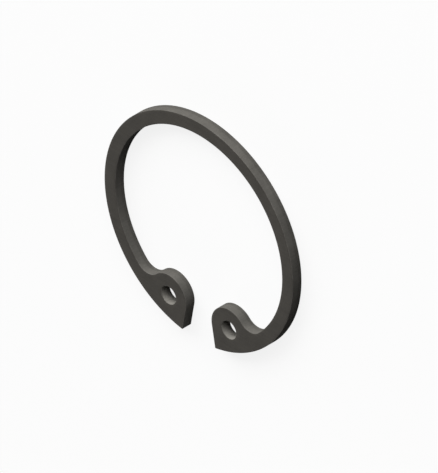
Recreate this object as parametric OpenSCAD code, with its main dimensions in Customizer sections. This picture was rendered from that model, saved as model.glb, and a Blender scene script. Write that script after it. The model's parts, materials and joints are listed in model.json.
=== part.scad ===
// Internal circlip: a retaining ring of spring steel that sits in a groove inside a bore.
// It is stamped from sheet in one piece and lies flat, with its lower face on Z = 0.
// Z is the ring's axis, and the gap between its two lugs faces -Y.

/* [Ring] */
// Outside diameter of the rim while the ring is free
ring_d = 25.9; // [20:0.1:60]
// Thickness of the sheet
sheet_t = 1.2; // [0.6:0.1:3]
// Radial width of the band, between the rim and the inside edge
band_w = 1.5; // [1:0.1:2.6]
// Angle between the two end faces of the gap, each of which lies along a radius
gap_angle = 20; // [8:1:50]
// Width of the bevel that tumbling leaves along each stamped edge
edge_break = 0.06; // [0.02:0.01:0.2]

/* [Lugs] */
// Height of a lug, from the rim to the tip of its round nose
lug_h = 4.85; // [4:0.05:6.5]
// Radius of the nose
nose_r = 2.4; // [1.7:0.05:3]
// Radius of the fillet where a lug runs into the band
root_r = 1.7; // [0.6:0.1:3]
// Diameter of the hole for the tip of the pliers, at the centre of the nose
plier_hole_d = 2; // [1:0.1:3]

/* [Hidden] */

$fa = 2;
$fs = 0.1;

// How far cutters run past the faces that they cut
past = 1;
// The same as an angle, for the sheet of a lug before its end face is trimmed
past_angle = 1;
// Overlap of round forms that meet at a tangent, so that they join without a sliver
lap = 0.0005;

rim_r = ring_d / 2;
inside_r = rim_r - band_w;
far_r = rim_r + past;
cut_h = sheet_t + 2 * past;

// The nose touches the end face of its lug. Angles are counted from the middle of the gap.
end_angle = gap_angle / 2;
nose_dist = rim_r - lug_h + nose_r;
nose_swing = asin((nose_r - lap) / nose_dist);
nose_angle = end_angle + nose_swing;
touch_dist = nose_dist * cos(nose_swing);
nose_at = from_gap(nose_dist, nose_angle);

// The fillet touches the nose from outside and the band from inside
root_dist = inside_r - root_r;
root_angle = nose_angle + angle_opposite(nose_r + root_r, nose_dist, root_dist);
root_at = from_gap(root_dist, root_angle);

// Angle of a triangle that faces its first side
function angle_opposite(a, b, c) = acos((b * b + c * c - a * a) / (2 * b * c));

// Point at a distance from the ring's centre, at an angle from the middle of the gap
function from_gap(dist, angle) = [dist * sin(angle), -dist * cos(angle)];

// Round blank with its edges broken
module blank(r) {
    rotate_extrude()
        polygon([
            [0, 0],
            [r - edge_break, 0],
            [r, edge_break],
            [r, sheet_t - edge_break],
            [r - edge_break, sheet_t],
            [0, sheet_t]
        ]);
}

// One side of a cut that leaves broken edges, as an outline with its wall at a given place
function cut_side(wall) = [
    [wall + edge_break + past, -past],
    [wall, edge_break],
    [wall, sheet_t - edge_break],
    [wall + edge_break + past, sheet_t + past]
];

// Round cut through the sheet
module round_cut(r) {
    rotate_extrude()
        polygon(concat([[0, -past]], cut_side(r), [[0, sheet_t + past]]));
}

module band() {
    difference() {
        blank(rim_r);
        round_cut(inside_r);
    }
}

// Sheet that joins the nose on the side of +X to the band, hollowed by the fillet
module lug_root() {
    difference() {
        linear_extrude(sheet_t)
            polygon([
                nose_at,
                root_at,
                from_gap(far_r, root_angle),
                from_gap(far_r, nose_angle),
                from_gap(far_r, end_angle - past_angle),
                from_gap(touch_dist, end_angle - past_angle)
            ]);
        translate(root_at) round_cut(root_r + lap);
    }
}

module lug() {
    intersection() {
        blank(rim_r);
        union() {
            translate(nose_at) blank(nose_r);
            lug_root();
        }
    }
}

// Straight cut that makes the end face on the side of +X, one cutter's width into the gap
module end_cut() {
    rotate([0, 0, end_angle - 90])
        rotate([90, 0, 90])
            linear_extrude(far_r)
                polygon(concat([[-past, -past]], cut_side(0), [[-past, sheet_t + past]]));
}

// Wedge between the two end cuts, which reaches half a cutter's width into each
module gap_middle() {
    tip_dist = past / 2 / sin(end_angle);
    translate([0, -tip_dist, -past])
        linear_extrude(cut_h)
            polygon([[0, 0], from_gap(far_r, end_angle), from_gap(far_r, -end_angle)]);
}

// One side of the ring and its mirror image
module both_sides() {
    children();
    mirror([1, 0, 0]) children();
}

module retaining_ring() {
    color([0.27, 0.26, 0.25])
        difference() {
            union() {
                band();
                both_sides() lug();
            }
            gap_middle();
            both_sides() end_cut();
            both_sides() translate(nose_at) round_cut(plier_hole_d / 2);
        }
}

retaining_ring();
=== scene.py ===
import json
import math

import bmesh
import bpy
from mathutils import Matrix, Vector


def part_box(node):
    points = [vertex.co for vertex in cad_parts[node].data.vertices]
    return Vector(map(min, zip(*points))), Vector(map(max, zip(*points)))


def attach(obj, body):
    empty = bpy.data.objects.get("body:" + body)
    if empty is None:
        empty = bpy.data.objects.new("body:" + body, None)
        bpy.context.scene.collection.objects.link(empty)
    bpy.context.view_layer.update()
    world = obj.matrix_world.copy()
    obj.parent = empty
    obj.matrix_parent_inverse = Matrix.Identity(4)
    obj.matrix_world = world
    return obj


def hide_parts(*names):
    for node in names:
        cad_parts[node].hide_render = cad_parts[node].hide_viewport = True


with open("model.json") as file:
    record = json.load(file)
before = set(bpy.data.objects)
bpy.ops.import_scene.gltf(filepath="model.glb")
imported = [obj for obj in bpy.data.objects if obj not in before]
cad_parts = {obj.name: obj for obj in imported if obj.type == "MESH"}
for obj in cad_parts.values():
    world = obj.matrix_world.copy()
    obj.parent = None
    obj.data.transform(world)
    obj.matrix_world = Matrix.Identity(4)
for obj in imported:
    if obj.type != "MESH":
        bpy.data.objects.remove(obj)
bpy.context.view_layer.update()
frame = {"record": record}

# Everything is in metres, in the frame of the CAD part: the ring lies on the floor with its axis
# along Z, and the gap between its lugs faces -Y.
MM = 0.001
BODY = "root"
NODE = "retaining_ring"


def mount(name):
    return next(m for m in frame["record"]["mounts"] if m["name"] == name)


# Sizes of the ring that the frame gives
LOW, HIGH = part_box(NODE)
SHEET = HIGH.z - LOW.z
RIM_R = mount("rim")["dims"]["r_mm"] * MM
HOLE_R = mount("plier_hole_right")["dims"]["r_mm"] * MM
NOSE_AT = Vector((*mount("plier_hole_right")["pos_m"][:2], 0))

# Sizes that it doesn't give: the band's width, and the radii of a lug's nose and root fillet
BAND_W = 1.5 * MM
NOSE_R = 2.4 * MM
ROOT_R = 1.7 * MM

# Rounding of the edges: die roll on the upper face, tumbled burr on the lower one
UPPER_ROUND = 0.09 * MM
LOWER_ROUND = 0.06 * MM
CORNER_ROUND = 0.06 * MM
ROUND_STEPS = 4

# Places on the ring are given by their distance from its centre and their angle from the middle of
# the gap. Arcs are drawn with angles from +X, where the middle of the gap is a quarter turn back.
CENTRE = Vector((0, 0, 0))
GAP_MIDDLE = -math.pi / 2


def from_gap(dist, angle):
    """Point at a distance from the ring's centre, at an angle from the middle of the gap."""
    return Vector((dist * math.sin(angle), -dist * math.cos(angle), 0))


def gap_angle(point):
    """Angle of a point, from the middle of the gap."""
    return math.atan2(point.x, -point.y)


def on_circle(centre, radius, angle):
    """Point of a circle, at an angle from +X."""
    return centre + radius * Vector((math.cos(angle), math.sin(angle), 0))


def angle_opposite(first, second, third):
    """Angle of a triangle that faces its first side."""
    return math.acos((second ** 2 + third ** 2 - first ** 2) / (2 * second * third))


# Where the lug's outline changes from one arc to the next: the nose touches the end face, and the
# fillet touches the nose from outside and the band from inside
NOSE_DIST = NOSE_AT.length
NOSE_ANGLE = gap_angle(NOSE_AT)
END_ANGLE = NOSE_ANGLE - math.asin(NOSE_R / NOSE_DIST)
ROOT_DIST = RIM_R - BAND_W - ROOT_R
ROOT_ANGLE = NOSE_ANGLE + angle_opposite(NOSE_R + ROOT_R, NOSE_DIST, ROOT_DIST)
ROOT_AT = from_gap(ROOT_DIST, ROOT_ANGLE)

# How finely the outline is divided
NOSE_STEPS = 40
FILLET_STEPS = 14
SECTION_STEPS = 5
RIM_STEPS = 24
END_STEPS = 10
COLLAR_RINGS = 5
THROAT_STEPS = 16
BAND_STEPS = 160
MERGE = 0.001 * MM


def arc(centre, radius, start, end, steps):
    """Points along an arc, without its last one."""
    return [on_circle(centre, radius, start + (end - start) * i / steps) for i in range(steps)]


def line(start, end, steps):
    """Points along a line, without its last one."""
    return [start.lerp(end, i / steps) for i in range(steps)]


def collar_outline():
    """Outline of a lug round its hole, as far as the middle of the fillet, and the section there."""
    touch = END_ANGLE + math.pi
    to_root = ROOT_AT - NOSE_AT
    nose_end = math.atan2(to_root.y, to_root.x)
    fillet_start = nose_end - math.pi
    fillet_middle = (fillet_start + ROOT_ANGLE + GAP_MIDDLE) / 2
    neck = on_circle(ROOT_AT, ROOT_R, fillet_middle)
    neck_angle = gap_angle(neck)
    points = arc(NOSE_AT, NOSE_R, touch, nose_end, NOSE_STEPS)
    points += arc(ROOT_AT, ROOT_R, fillet_start, fillet_middle, FILLET_STEPS)
    points += line(neck, from_gap(RIM_R, neck_angle), SECTION_STEPS)
    points += arc(CENTRE, RIM_R, neck_angle + GAP_MIDDLE, END_ANGLE + GAP_MIDDLE, RIM_STEPS)
    points += line(from_gap(RIM_R, END_ANGLE), on_circle(NOSE_AT, NOSE_R, touch), END_STEPS)
    return points, fillet_middle


def loop_of_edges(mesh, points):
    verts = [mesh.verts.new(p) for p in points]
    return verts, [mesh.edges.new((verts[i - 1], verts[i])) for i in range(len(verts))]


def of_type(made, kind):
    return [item for item in made if isinstance(item, kind)]


def add_collar(mesh):
    """Flat sheet between a lug's outline and its plier hole. Returns the verts of its open section."""
    points, fillet_middle = collar_outline()
    outline, edges = loop_of_edges(mesh, points)
    for rings_left in range(COLLAR_RINGS, 0, -1):
        made = bmesh.ops.extrude_edge_only(mesh, edges=edges)["geom"]
        edges = of_type(made, bmesh.types.BMEdge)
        for vert in of_type(made, bmesh.types.BMVert):
            on_hole = NOSE_AT + HOLE_R * (vert.co - NOSE_AT).normalized()
            vert.co = vert.co.lerp(on_hole, 1 / rings_left)
    first = NOSE_STEPS + FILLET_STEPS
    return outline[first:first + SECTION_STEPS + 1], fillet_middle


def edges_along(mesh, section):
    return [mesh.edges.get(pair) for pair in zip(section, section[1:])]


def extend_section(mesh, section, inner, outer):
    """Draws the sheet on from one section of the ring to the next one."""
    made = bmesh.ops.extrude_edge_only(mesh, edges=edges_along(mesh, section))["geom"]
    verts = of_type(made, bmesh.types.BMVert)
    verts.sort(key=lambda v: v.co.length)
    for i, vert in enumerate(verts):
        vert.co = inner.lerp(outer, i / SECTION_STEPS)
    return verts


def add_throat(mesh, section, fillet_middle):
    """Sheet along the second half of the fillet, where the lug narrows to the band."""
    fillet_end = ROOT_ANGLE + GAP_MIDDLE
    for i in range(1, THROAT_STEPS + 1):
        angle = fillet_middle + (fillet_end - fillet_middle) * i / THROAT_STEPS
        inner = on_circle(ROOT_AT, ROOT_R, angle)
        section = extend_section(mesh, section, inner, from_gap(RIM_R, gap_angle(inner)))
    return section


def add_band(mesh, section):
    """Half of the band, swept from the fillet's end to the side opposite the gap."""
    bmesh.ops.spin(mesh, geom=section + edges_along(mesh, section), cent=CENTRE, axis=(0, 0, 1),
                   dvec=(0, 0, 0), angle=math.pi - ROOT_ANGLE, steps=BAND_STEPS, use_merge=False,
                   use_duplicate=False)


# How upright a flat face's normal is at least, and how far the walls turn at a corner at least
FLAT_NORMAL = 0.99
CORNER_TURN = math.radians(45)


def is_flat(face):
    return abs(face.normal.z) > FLAT_NORMAL


def cap_edges(mesh, height):
    """Edges between a flat face and a wall, at a given height."""
    level = [e for e in mesh.edges if all(abs(v.co.z - height) < MERGE for v in e.verts)]
    return [e for e in level if len({is_flat(f) for f in e.link_faces}) == 2]


def corner_edges(mesh):
    """The four upright edges where the end faces meet the rim."""
    upright = [e for e in mesh.edges if abs(e.verts[0].co.z - e.verts[1].co.z) > SHEET / 2]
    return [e for e in upright if e.calc_face_angle(0) > CORNER_TURN]


def round_edges(mesh, edges, radius):
    bmesh.ops.bevel(mesh, geom=edges, offset=radius, offset_type="OFFSET", segments=ROUND_STEPS,
                    profile=0.5, affect="EDGES", material=-1, clamp_overlap=True)


def sort_by_place(mesh):
    """Gives verts, edges and faces one order, since a bevel leaves another one in each run."""
    for i, vert in enumerate(sorted(mesh.verts, key=lambda v: tuple(v.co))):
        vert.index = i
    mesh.verts.sort()
    for parts in (mesh.edges, mesh.faces):
        for i, part in enumerate(sorted(parts, key=lambda p: sorted(v.index for v in p.verts))):
            part.index = i
        parts.sort()


def add_flat_ring(mesh):
    """The whole ring as a flat sheet, from one half and its mirror image."""
    section, fillet_middle = add_collar(mesh)
    section = add_throat(mesh, section, fillet_middle)
    add_band(mesh, section)
    bmesh.ops.mirror(mesh, geom=mesh.verts[:] + mesh.edges[:] + mesh.faces[:],
                     matrix=Matrix.Identity(4), merge_dist=MERGE, axis="X")
    bmesh.ops.remove_doubles(mesh, verts=mesh.verts[:], dist=MERGE)
    bmesh.ops.recalc_face_normals(mesh, faces=mesh.faces[:])


def thicken(mesh):
    """Gives the flat sheet its thickness, and puts its lower face where the CAD part's is."""
    made = bmesh.ops.extrude_face_region(mesh, geom=mesh.faces[:], use_keep_orig=True)["geom"]
    bmesh.ops.translate(mesh, verts=of_type(made, bmesh.types.BMVert), vec=(0, 0, SHEET))
    bmesh.ops.translate(mesh, verts=mesh.verts[:], vec=(0, 0, LOW.z))
    bmesh.ops.recalc_face_normals(mesh, faces=mesh.faces[:])


def object_from(mesh, name):
    """Turns a finished bmesh into an object of the scene."""
    data = bpy.data.meshes.new(name)
    mesh.to_mesh(data)
    mesh.free()
    made = bpy.data.objects.new(name, data)
    bpy.context.scene.collection.objects.link(made)
    return made


def stamped_ring():
    """The ring, thickened and with its edges rounded."""
    mesh = bmesh.new()
    add_flat_ring(mesh)
    thicken(mesh)
    round_edges(mesh, corner_edges(mesh), CORNER_ROUND)
    round_edges(mesh, cap_edges(mesh, LOW.z + SHEET), UPPER_ROUND)
    round_edges(mesh, cap_edges(mesh, LOW.z), LOWER_ROUND)
    bmesh.ops.recalc_face_normals(mesh, faces=mesh.faces[:])
    sort_by_place(mesh)
    for face in mesh.faces:
        face.smooth = True
    ring = object_from(mesh, "stamped_ring")
    # The large faces shade flat, right up to the rounded edges
    evener = ring.modifiers.new("even_normals", "WEIGHTED_NORMAL")
    evener.mode = "FACE_AREA"
    evener.weight = 100
    return ring


def plug(tree, socket, value):
    """Links a socket to another node's output, or sets it to a value."""
    if isinstance(value, bpy.types.NodeSocket):
        tree.links.new(value, socket)
    else:
        socket.default_value = value


def node(tree, kind, inputs, **settings):
    """Adds a node of a kind, with its settings, and its inputs by name or number."""
    made = tree.nodes.new("ShaderNode" + kind)
    for name, value in settings.items():
        setattr(made, name, value)
    for key, value in inputs.items():
        plug(tree, made.inputs[key], value)
    return made


def calc(tree, operation, *values):
    return node(tree, "Math", dict(enumerate(values)), operation=operation).outputs[0]


def times(tree, first, second):
    return calc(tree, "MULTIPLY", first, second)


def total(tree, *values):
    """Sum of two or more values."""
    result = values[0]
    for value in values[1:]:
        result = calc(tree, "ADD", result, value)
    return result


def centred(tree, value, gain):
    """A value round a half, times a gain, round zero."""
    return times(tree, calc(tree, "SUBTRACT", value, 0.5), gain)


def factor(tree, value, gain):
    """One plus a value times a gain, to make a colour lighter or darker with."""
    return calc(tree, "MULTIPLY_ADD", value, gain, 1.0)


def ramp(tree, value, start, end, low=0.0, high=1.0):
    """Smooth step from low to high while a value goes from start to end."""
    inputs = {"Value": value, "From Min": start, "From Max": end, "To Min": low, "To Max": high}
    return node(tree, "MapRange", inputs, interpolation_type="SMOOTHSTEP").outputs["Result"]


def noise(tree, place, grain, detail=2.0):
    """Noise whose grain has one size, or three along X, Y and Z."""
    sizes = grain if isinstance(grain, tuple) else (grain, grain, grain)
    scaled = node(tree, "Mapping", {"Vector": place, "Scale": [1 / s for s in sizes]}).outputs[0]
    return node(tree, "TexNoise", {"Vector": scaled, "Scale": 1.0, "Detail": detail}).outputs["Fac"]


def blend(tree, share, first, second):
    """Colour between two colours."""
    return node(tree, "MixRGB", {"Fac": share, "Color1": first, "Color2": second}).outputs["Color"]


def new_material(name):
    material = bpy.data.materials.new(name)
    material.use_nodes = True
    material.node_tree.nodes.clear()
    return material, material.node_tree


# Colours of the phosphated faces, of the punched walls, and of the rounded edges that tumbling
# polished, and how far patterns make them lighter and darker. The walls' colour is partly their own
# punched colour and partly painted light: it is made lighter to stand in for the strong light on walls
FACE_COLOUR = (0.0496, 0.0462, 0.0410, 1)
WALL_COLOUR_AND_LIGHT = (0.0950, 0.0908, 0.0825, 1)
EDGE_COLOUR = (0.13, 0.125, 0.116, 1)
TONE_SPREAD = 0.35

# Painted light in the plier holes: how much lighter the colour of their walls is made, against the
# shade that each hole casts into itself, and how far past a hole's radius a wall still belongs to it
PAINTED_HOLE_LIGHT = 0.6
HOLE_MARGIN = 0.1 * MM

# Roughness of faces and walls, and how the oil shines
FACE_ROUGH = 0.7
WALL_ROUGH = 1.0
SHINE = 0.02

# Polish of the rounded edges: how far it goes at least and at most, what it takes off the roughness,
# and how metallic it makes the steel
POLISH = (0.4, 0.9)
EDGE_POLISH = 0.3
EDGE_METALLIC = 0.5

# Where a wall ends and where a face begins, as the square of how far the normal stands upright
WALL_TO_FACE = (0.02, 0.3)

# Sizes of the patterns: clouds and crystals of phosphate, lines of the rolled faces along X, and
# streaks that the punch drew down the walls
CLOUD = 1.7 * MM
CLOUD_DETAIL = 3.0
CRYSTAL = 0.15 * MM
ROLLED = (7 * MM, 0.2 * MM, 0.2 * MM)
DRAWN = (0.18 * MM, 0.18 * MM, 4 * MM)

# The punch cuts the upper part of a wall and tears the lower part, with a wavy line between them
TORN_SHARE = 0.36
TORN_SWAY = 0.3
TORN_EDGE = 0.04
TORN_WAVE = (0.8 * MM, 0.8 * MM, 50 * MM)

# How strongly each pattern lightens the colour, or darkens it where the value is below nought, and
# how strongly the clouds change the roughness and the polish
CLOUD_SHADE = 1.6
LINE_SHADE = 0.7
CRYSTAL_SHADE = 0.7
TORN_SHADE = -0.4
CLOUD_ROUGH = 0.2
CLOUD_POLISH = (0.3, 0.7)

# How far each pattern stands up, or lies low, as a share of the bump's depth
BUMP_DEPTH = 0.008 * MM
LINE_RELIEF = 0.8
CRYSTAL_RELIEF = 1.0
TORN_RELIEF = -0.8


def walls_and_edges(tree, normal):
    """How far a spot belongs to a wall, and how far to a rounded edge."""
    upright = node(tree, "SeparateXYZ", {0: normal}).outputs["Z"]
    flatness = times(tree, upright, upright)
    on_wall = ramp(tree, flatness, *WALL_TO_FACE, 1.0, 0.0)
    steepness = calc(tree, "SUBTRACT", 1.0, flatness)
    # The product of two shares that add up to one is a quarter at most
    return on_wall, times(tree, times(tree, flatness, steepness), 4.0)


def torn_part(tree, place, on_wall):
    """One on the torn lower part of the walls, and nought elsewhere."""
    height = node(tree, "SeparateXYZ", {0: place}).outputs["Z"]
    share = calc(tree, "DIVIDE", calc(tree, "SUBTRACT", height, LOW.z), SHEET)
    tear_line = total(tree, centred(tree, noise(tree, place, TORN_WAVE), TORN_SWAY), TORN_SHARE)
    above_line = calc(tree, "SUBTRACT", share, tear_line)
    return times(tree, ramp(tree, above_line, -TORN_EDGE, TORN_EDGE, 1.0, 0.0), on_wall)


def in_plier_hole(tree, place, on_wall):
    """One on the walls of the two plier holes, and nought elsewhere."""
    at = node(tree, "SeparateXYZ", {0: place}).outputs
    right_side = {"X": calc(tree, "ABSOLUTE", at["X"]), "Y": at["Y"]}
    folded = node(tree, "CombineXYZ", right_side).outputs[0]
    off_middle = node(tree, "VectorMath", {0: folded, 1: NOSE_AT}, operation="DISTANCE").outputs["Value"]
    near = ramp(tree, off_middle, HOLE_R, HOLE_R + HOLE_MARGIN, 1.0, 0.0)
    return times(tree, near, on_wall)


def spring_steel():
    """Phosphated and oiled spring steel: dark, dull and faintly cloudy, with punched walls.

    Part of the walls' colour is painted light, most of all in the plier holes.
    """
    material, tree = new_material("phosphated_spring_steel")
    spot = node(tree, "TexCoord", {}).outputs
    place = spot["Object"]
    on_wall, on_edge = walls_and_edges(tree, spot["Normal"])
    torn = torn_part(tree, place, on_wall)
    in_hole = in_plier_hole(tree, place, on_wall)

    clouds = noise(tree, place, CLOUD, CLOUD_DETAIL)
    crystals = noise(tree, place, CRYSTAL)
    lines = blend(tree, on_wall, noise(tree, place, ROLLED), noise(tree, place, DRAWN))
    polish = times(tree, on_edge, ramp(tree, clouds, *CLOUD_POLISH, *POLISH))

    shades = total(tree, centred(tree, clouds, CLOUD_SHADE), centred(tree, lines, LINE_SHADE),
                   centred(tree, crystals, CRYSTAL_SHADE), times(tree, torn, TORN_SHADE))
    # Painted light: the walls of the plier holes are made lighter, against the shade inside the holes
    tone_and_light = times(tree, factor(tree, shades, TONE_SPREAD), factor(tree, in_hole, PAINTED_HOLE_LIGHT))
    # Partly painted light: the walls take a lighter colour than the faces
    plain = blend(tree, on_wall, FACE_COLOUR, WALL_COLOUR_AND_LIGHT)
    patterned_with_painted_light = node(tree, "VectorMath", {0: plain, "Scale": tone_and_light}, operation="SCALE").outputs[0]

    rough = total(tree, centred(tree, clouds, CLOUD_ROUGH),
                  ramp(tree, on_wall, 0.0, 1.0, FACE_ROUGH, WALL_ROUGH),
                  times(tree, polish, -EDGE_POLISH))
    relief = total(tree, centred(tree, lines, LINE_RELIEF), centred(tree, crystals, CRYSTAL_RELIEF),
                   times(tree, torn, TORN_RELIEF))
    bump = node(tree, "Bump", {"Strength": 1.0, "Distance": BUMP_DEPTH, "Height": relief})

    shader = node(tree, "BsdfPrincipled", {
        "Base Color": blend(tree, polish, patterned_with_painted_light, EDGE_COLOUR),
        "Metallic": times(tree, polish, EDGE_METALLIC),
        "Roughness": rough,
        "Specular IOR Level": SHINE,
        "Normal": bump.outputs[0],
    })
    node(tree, "OutputMaterial", {"Surface": shader.outputs[0]})
    return material


# The floor is a wide disc just below the ring
FLOOR_R = 2.5
FLOOR_SIDES = 96
FLOOR_DROP = 0.01 * MM

# Share of its light that the floor gives back to the ring, and the glow that makes it look white
FLOOR_GREY = 0.12
FLOOR_GLOW = 0.853

# How white the room looks, and the light that it throws on the ring
ROOM_WHITE = 0.97
ROOM_LIGHT = 0.035
WHITE = (1, 1, 1, 1)


def seen_rays(tree):
    """One for rays from the camera or off a shiny surface, and nought for scattered light."""
    rays = node(tree, "LightPath", {}).outputs
    straight = calc(tree, "MAXIMUM", rays["Is Camera Ray"], rays["Is Glossy Ray"])
    return calc(tree, "MAXIMUM", straight, rays["Is Transmission Ray"])


def floor_material():
    """Pale paper that looks white, but throws no more light on the ring than grey paper would."""
    material, tree = new_material("pale_floor")
    paper = node(tree, "BsdfDiffuse", {"Color": (FLOOR_GREY, FLOOR_GREY, FLOOR_GREY, 1)})
    strength = times(tree, seen_rays(tree), FLOOR_GLOW)
    glow = node(tree, "Emission", {"Color": WHITE, "Strength": strength})
    both = node(tree, "AddShader", {0: paper.outputs[0], 1: glow.outputs[0]})
    node(tree, "OutputMaterial", {"Surface": both.outputs[0]})
    return material


def add_floor():
    mesh = bmesh.new()
    bmesh.ops.create_circle(mesh, cap_ends=True, segments=FLOOR_SIDES, radius=FLOOR_R)
    bmesh.ops.translate(mesh, verts=mesh.verts[:], vec=(0, 0, LOW.z - FLOOR_DROP))
    floor = object_from(mesh, "floor")
    floor.data.materials.append(floor_material())


def add_room():
    """World that looks white, but lights the ring only as far as its shaded sides need."""
    world = bpy.data.worlds.new("room")
    world.use_nodes = True
    tree = world.node_tree
    backdrop = tree.nodes["Background"].inputs
    strength = calc(tree, "MULTIPLY_ADD", seen_rays(tree), ROOM_WHITE - ROOM_LIGHT, ROOM_LIGHT)
    plug(tree, backdrop["Color"], WHITE)
    plug(tree, backdrop["Strength"], strength)
    bpy.context.scene.world = world


# A wide softbox over +Y, and a weak low one over -X and -Y that fills the ring's shaded side: the
# bearing from +X and the height above the floor in degrees, then metres, then watts
KEY = {"bearing": 103, "height": 28, "distance": 1.6, "width": 4.2, "depth": 1.0, "watts": 98.0}
FILL = {"bearing": 232, "height": 6, "distance": 3.0, "width": 1.2, "depth": 0.5, "watts": 46.0}


def add_softbox(name, bearing, height, distance, width, depth, watts):
    """Rectangular area lamp that faces the ring."""
    data = bpy.data.lights.new(name, "AREA")
    data.shape = "RECTANGLE"
    data.size = width
    data.size_y = depth
    data.energy = watts
    bearing, height = math.radians(bearing), math.radians(height)
    flat = distance * math.cos(height)
    lamp = bpy.data.objects.new(name, data)
    lamp.location = (flat * math.cos(bearing), flat * math.sin(bearing), distance * math.sin(height))
    lamp.rotation_euler = lamp.location.to_track_quat("Z", "Y").to_euler()
    bpy.context.scene.collection.objects.link(lamp)


# The photograph: its size, the ring's centre on the upper face and its rim's radius, in pixels
PHOTO_W = 438
PHOTO_H = 473
CENTRE_PX = (198.68, 231.57)
RIM_PX = 133.25

# How far back the camera stands, and the nearest and farthest that it sees
CAMERA_DISTANCE = 0.3
CAMERA_RANGE = (0.01, 10)


def add_camera():
    """Parallel view along the diagonal of the frame, turned so that +Y points up the picture."""
    back = Vector((1, 1, 1)).normalized()
    up = (Vector((0, 1, 0)) - back * back.y).normalized()
    right = up.cross(back)
    pixel = RIM_R / RIM_PX
    aim = Vector((0, 0, LOW.z + SHEET))
    aim += right * (PHOTO_W / 2 - CENTRE_PX[0]) * pixel
    aim -= up * (PHOTO_H / 2 - CENTRE_PX[1]) * pixel
    data = bpy.data.cameras.new("camera")
    data.type = "ORTHO"
    data.ortho_scale = PHOTO_H * pixel
    data.clip_start, data.clip_end = CAMERA_RANGE
    camera = bpy.data.objects.new("camera", data)
    turn = Matrix((right, up, back)).transposed().to_4x4()
    camera.matrix_world = Matrix.Translation(aim + back * CAMERA_DISTANCE) @ turn
    bpy.context.scene.collection.objects.link(camera)
    bpy.context.scene.camera = camera


def dress_ring():
    ring = stamped_ring()
    ring.data.materials.append(spring_steel())
    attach(ring, BODY)
    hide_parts(NODE)


bpy.context.scene.view_settings.view_transform = "Standard"
add_camera()
dress_ring()
add_floor()
add_room()
add_softbox("key_softbox", **KEY)
add_softbox("fill_softbox", **FILL)
